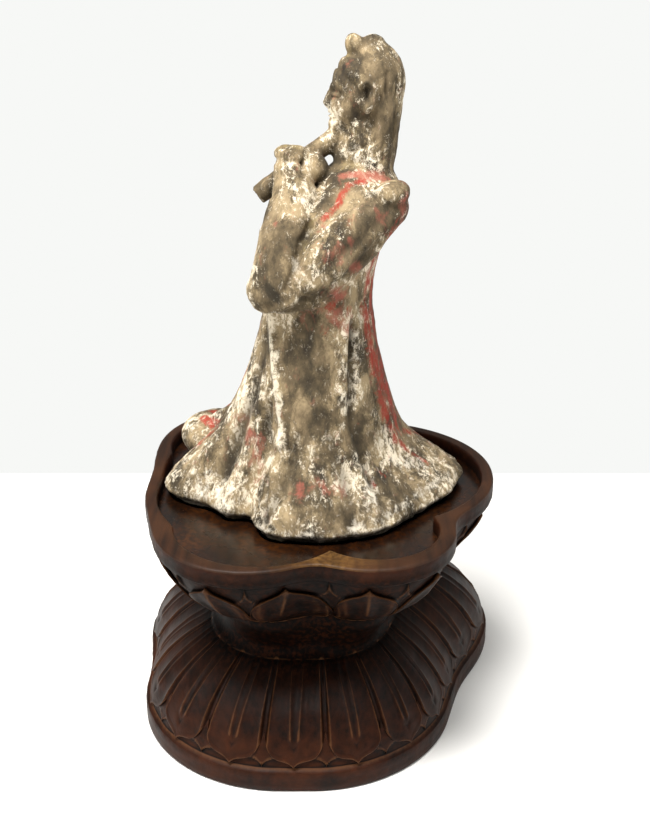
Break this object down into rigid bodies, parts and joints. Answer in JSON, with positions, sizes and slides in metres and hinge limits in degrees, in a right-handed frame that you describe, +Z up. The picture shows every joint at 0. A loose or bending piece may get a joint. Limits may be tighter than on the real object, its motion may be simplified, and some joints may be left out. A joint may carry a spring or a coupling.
{
  "type": "terracotta musician figure on a carved lotus stand",
  "caption": "Robed fired-clay musician raising an end-blown flute, skirt spread in a wide hem, resting loose in the tray of a carved hardwood lotus stand with a cloud-shaped outline.",
  "frame": {"origin": "middle of the stand's underside, on the surface that it stands on", "axes": "+Z up; the musician looks along -Y, its left side is at +X and its back at +Y"},
  "size_m": [0.2144, 0.2132, 0.3698],
  "materials": {
    "fired_clay": "weathered grey fired clay, unglazed and matt, with worn white slip, pale yellow soil crust and traces of vermilion pigment; matte_plastic stands for it",
    "hardwood": "carved dark hardwood with a worn wax polish, browner on its worn edges"
  },
  "bodies": {
    "root": {"musician_figure": "fired_clay", "stand": "hardwood"}
  },
  "joints": []
}
